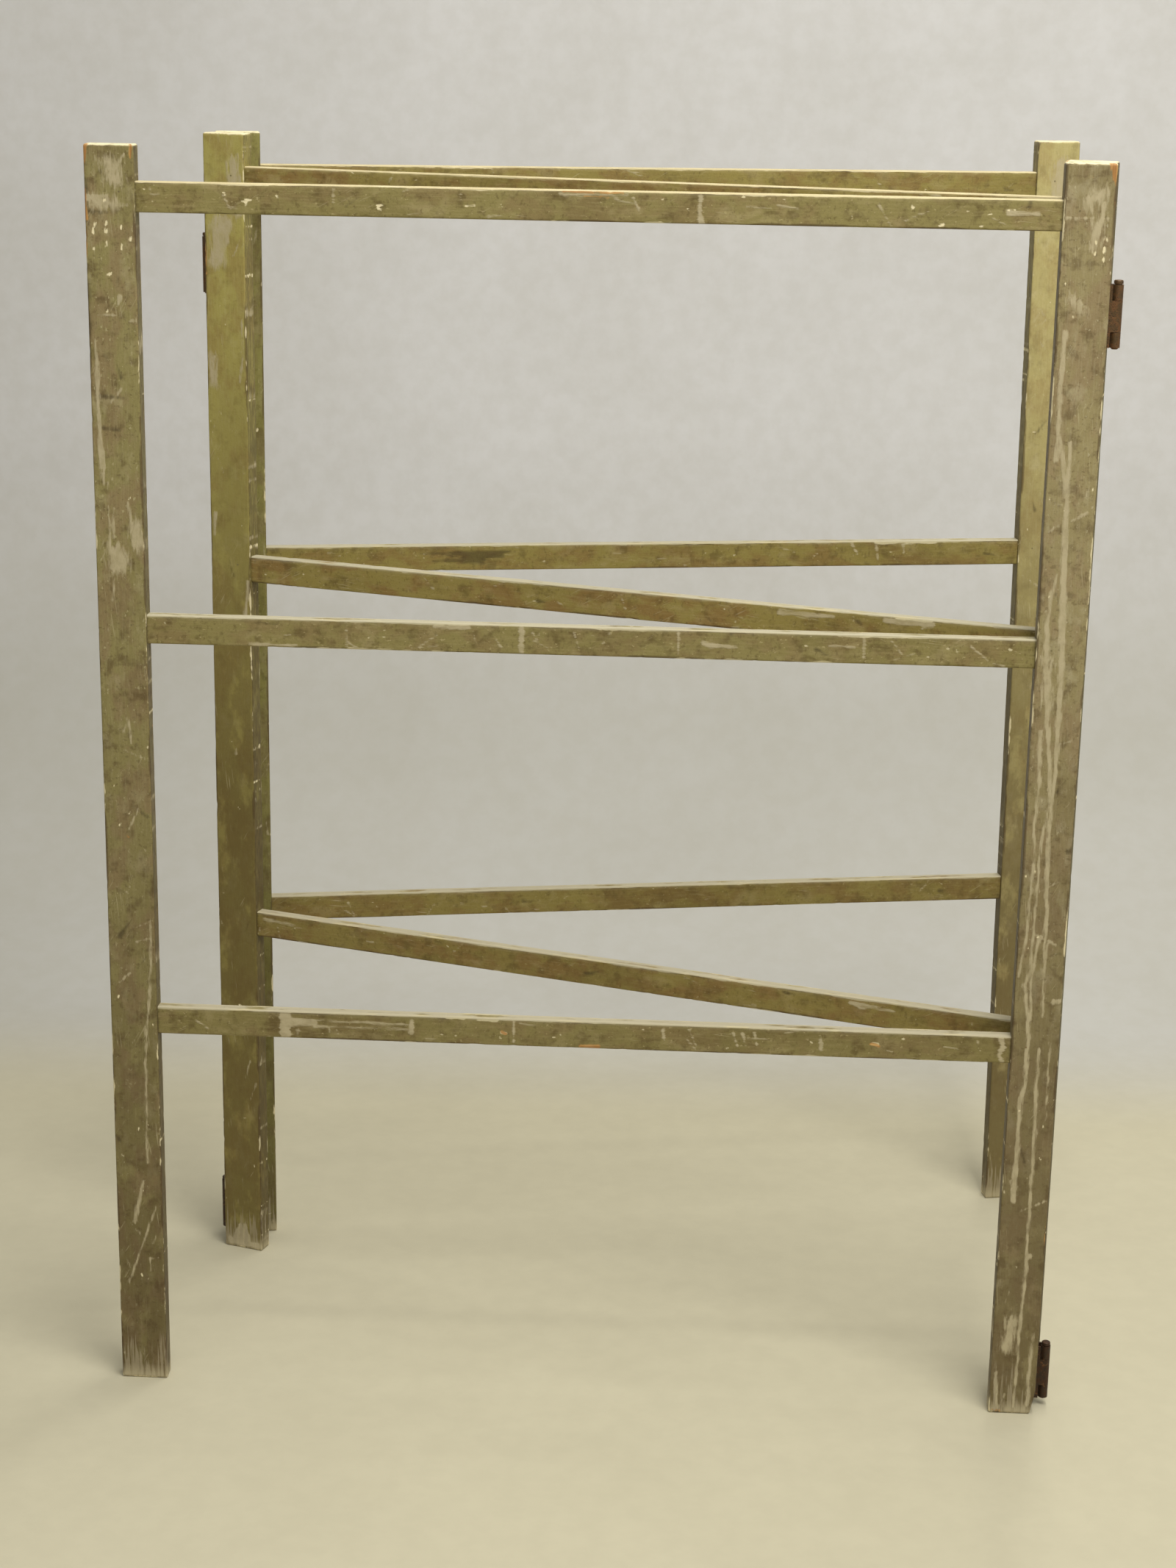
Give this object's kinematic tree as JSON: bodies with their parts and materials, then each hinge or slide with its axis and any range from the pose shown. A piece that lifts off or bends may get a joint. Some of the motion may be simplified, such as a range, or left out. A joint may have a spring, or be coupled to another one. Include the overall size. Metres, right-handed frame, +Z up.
{
  "type": "folding clothes horse",
  "caption": "Folding free-standing clothes horse: painted wooden sections of upright stiles and cross rails, joined by butt hinges so the rack stands in a zigzag and folds flat.",
  "frame": {"origin": "bottom centre of the whole rack as it stands open, on the floor", "axes": "+X along the front section, from its free stile to its hinged stile; +Y from the front section to the rear one; +Z up"},
  "size_m": [1.0768, 0.615, 1.375],
  "materials": {
    "painted_wood": "worn satin olive paint over softwood",
    "hinge_iron": "rusted",
    "screw_steel": "rusted",
    "brad_steel": "painted over"
  },
  "bodies": {
    "middle_section": {"middle_left_stile": "painted_wood", "middle_right_stile": "painted_wood", "middle_top_rail": "painted_wood", "middle_centre_rail": "painted_wood", "middle_bottom_rail": "painted_wood", "middle_rail_brads": "brad_steel", "middle_upper_right_leaf": "hinge_iron", "middle_upper_right_leaf_screws": "screw_steel", "upper_right_hinge_pin": "hinge_iron", "middle_lower_right_leaf": "hinge_iron", "middle_lower_right_leaf_screws": "screw_steel", "lower_right_hinge_pin": "hinge_iron", "middle_upper_left_leaf": "hinge_iron", "middle_upper_left_leaf_screws": "screw_steel", "upper_left_hinge_pin": "hinge_iron", "middle_lower_left_leaf": "hinge_iron", "middle_lower_left_leaf_screws": "screw_steel", "lower_left_hinge_pin": "hinge_iron"},
    "front_section": {"front_left_stile": "painted_wood", "front_right_stile": "painted_wood", "front_top_rail": "painted_wood", "front_centre_rail": "painted_wood", "front_bottom_rail": "painted_wood", "front_rail_brads": "brad_steel", "front_upper_right_leaf": "hinge_iron", "front_upper_right_leaf_screws": "screw_steel", "front_lower_right_leaf": "hinge_iron", "front_lower_right_leaf_screws": "screw_steel"},
    "rear_section": {"rear_left_stile": "painted_wood", "rear_right_stile": "painted_wood", "rear_top_rail": "painted_wood", "rear_centre_rail": "painted_wood", "rear_bottom_rail": "painted_wood", "rear_rail_brads": "brad_steel", "rear_upper_left_leaf": "hinge_iron", "rear_upper_left_leaf_screws": "screw_steel", "rear_lower_left_leaf": "hinge_iron", "rear_lower_left_leaf_screws": "screw_steel"}
  },
  "joints": [
    {"name": "front_section_fold", "type": "hinge", "parent": "middle_section", "child": "front_section", "pos_m": [0.50996, -0.28116, 0.63], "axis": [0, 0, 1], "range_deg": [-18, 207]},
    {"name": "rear_section_fold", "type": "hinge", "parent": "middle_section", "child": "rear_section", "pos_m": [-0.48839, 0.07645, 0.63], "axis": [0, 0, 1], "range_deg": [-29.3, 195.7]}
  ]
}
